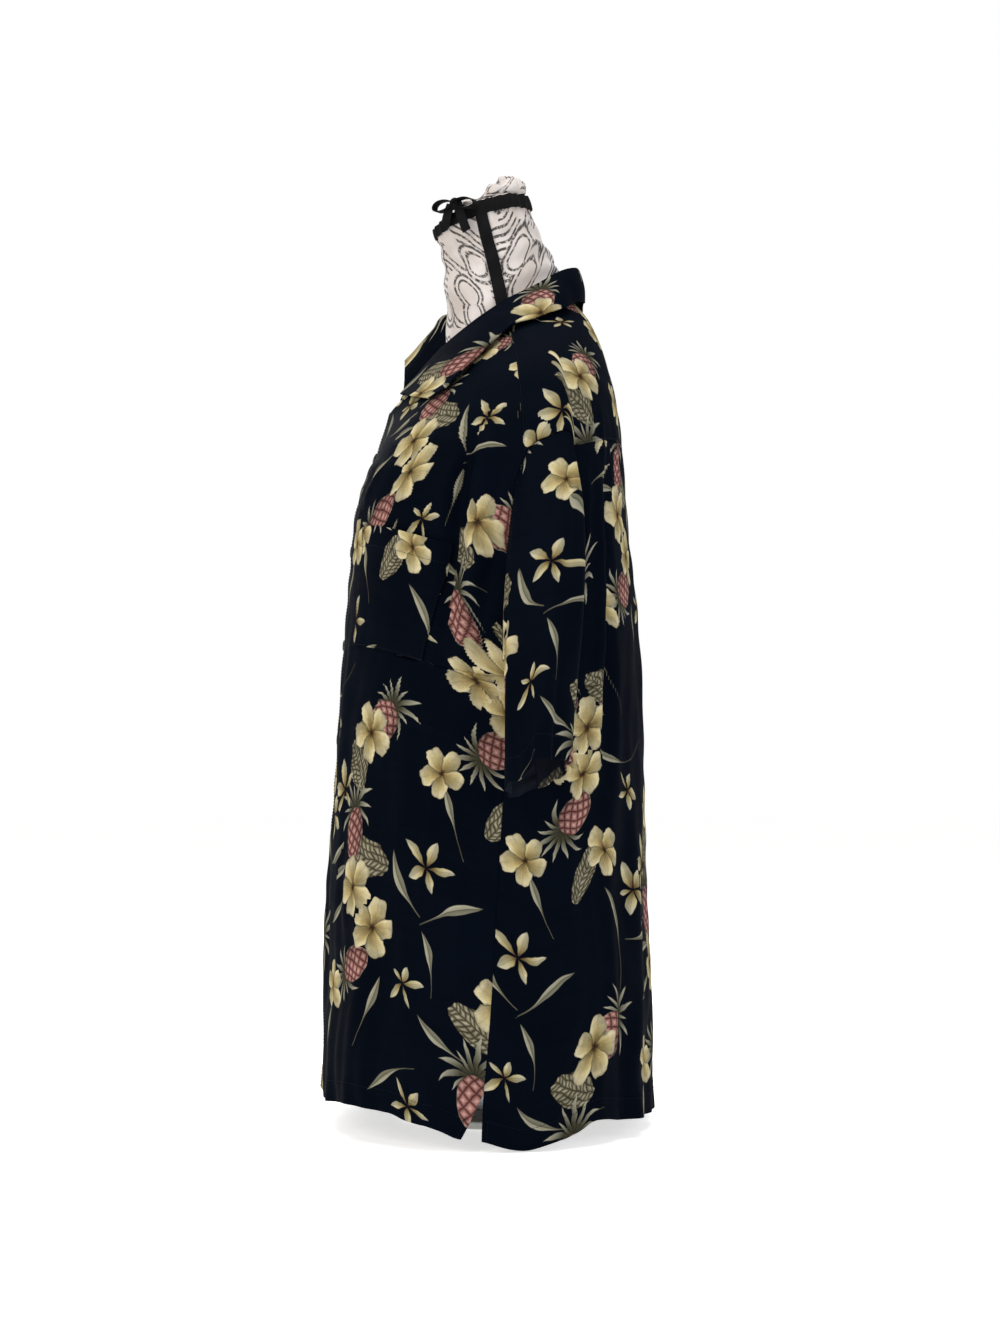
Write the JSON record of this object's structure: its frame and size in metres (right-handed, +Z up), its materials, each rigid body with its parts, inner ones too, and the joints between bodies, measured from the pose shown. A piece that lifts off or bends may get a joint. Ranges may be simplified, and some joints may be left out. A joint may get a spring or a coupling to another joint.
{
  "type": "hawaiian shirt on a limbless dress form",
  "caption": "Short-sleeved camp shirt with a tropical print, buttoned over a limbless dress form whose cover is tied at the neck, on a post and a round foot.",
  "frame": {"origin": "on the surface that the stand's foot rests on, at the foot's middle", "axes": "+Z up, the form faces -Y, the wearer's left is +X"},
  "size_m": [0.6922, 0.336, 0.9781],
  "materials": {
    "shirt_cloth": "washed rayon with a printed tropical pattern and a soft low sheen",
    "buttons": "dark polished resin",
    "form_cover": "matt printed cotton jersey",
    "form_tape": "matt cotton tape",
    "stand_foot": "satin enamel",
    "stand_post": "brushed tube"
  },
  "bodies": {
    "root": {"left_front": "shirt_cloth", "right_front": "shirt_cloth", "back": "shirt_cloth", "yoke": "shirt_cloth", "left_sleeve": "shirt_cloth", "right_sleeve": "shirt_cloth", "collar": "shirt_cloth", "chest_pocket": "shirt_cloth", "button_1": "buttons", "button_2": "buttons", "button_3": "buttons", "button_4": "buttons", "button_5": "buttons", "button_6": "buttons", "form_torso": "form_cover", "form_neck_cap": "form_cover", "form_neck_tape": "form_tape", "form_side_tape_left": "form_tape", "form_side_tape_right": "form_tape", "form_bow": "form_tape", "stand_foot": "stand_foot", "stand_post": "stand_post"}
  },
  "joints": []
}
